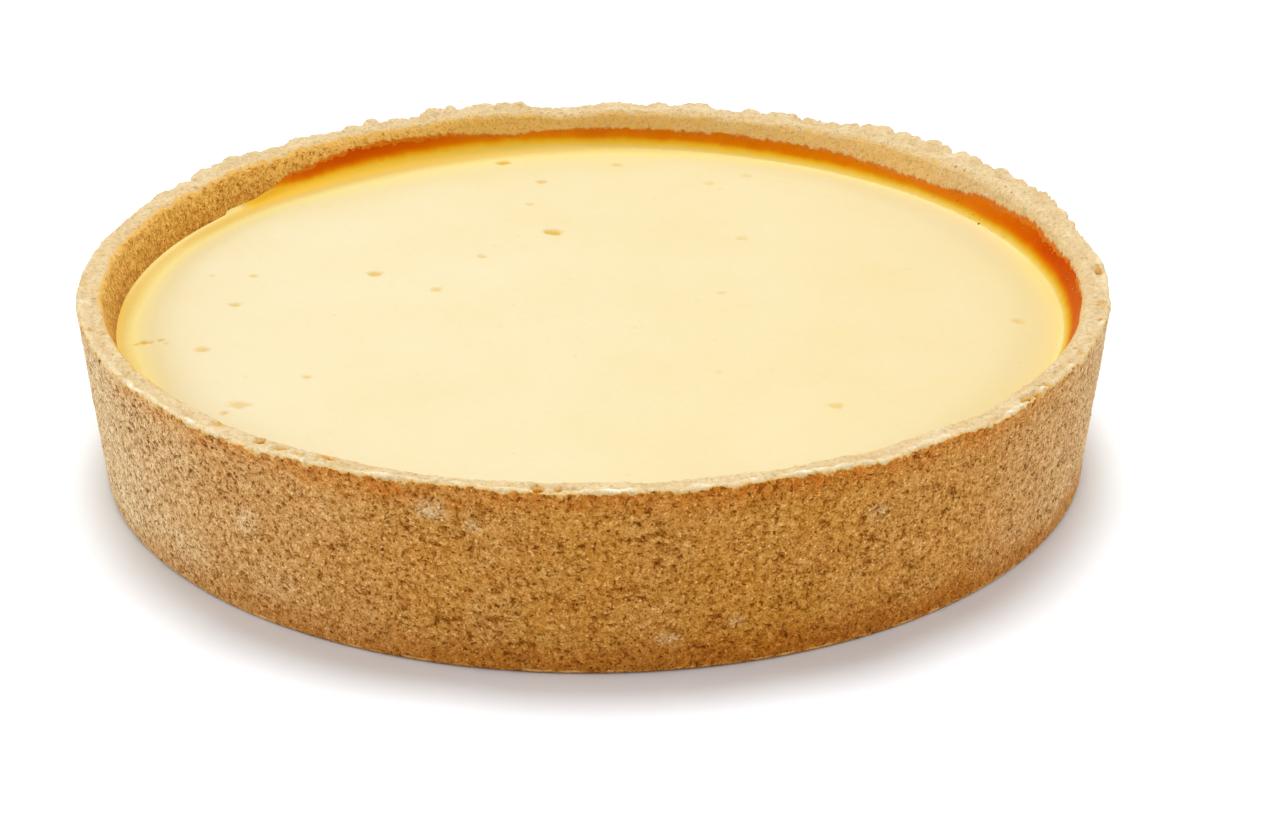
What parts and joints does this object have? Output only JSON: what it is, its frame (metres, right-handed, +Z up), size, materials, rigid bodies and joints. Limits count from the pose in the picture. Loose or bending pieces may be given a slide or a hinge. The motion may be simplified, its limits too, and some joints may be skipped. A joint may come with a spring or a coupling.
{
  "type": "cheesecake",
  "caption": "Round baked cheesecake: a tall shortcrust case with a crumbly rim, filled to just below it with smooth pale custard.",
  "frame": {"origin": "middle of the flat base, on the surface the cake stands on", "axes": "+Z up through the middle of the cake; -Y faces the viewer of the picture and +X is at the viewer's right"},
  "size_m": [0.2598, 0.2595, 0.0478],
  "materials": {
    "crust": "matte, sandy baked shortcrust, golden to brown",
    "filling": "smooth set custard with a soft sheen, caramelised at its edge"
  },
  "bodies": {
    "root": {"crust": "crust", "filling": "filling"}
  },
  "joints": []
}
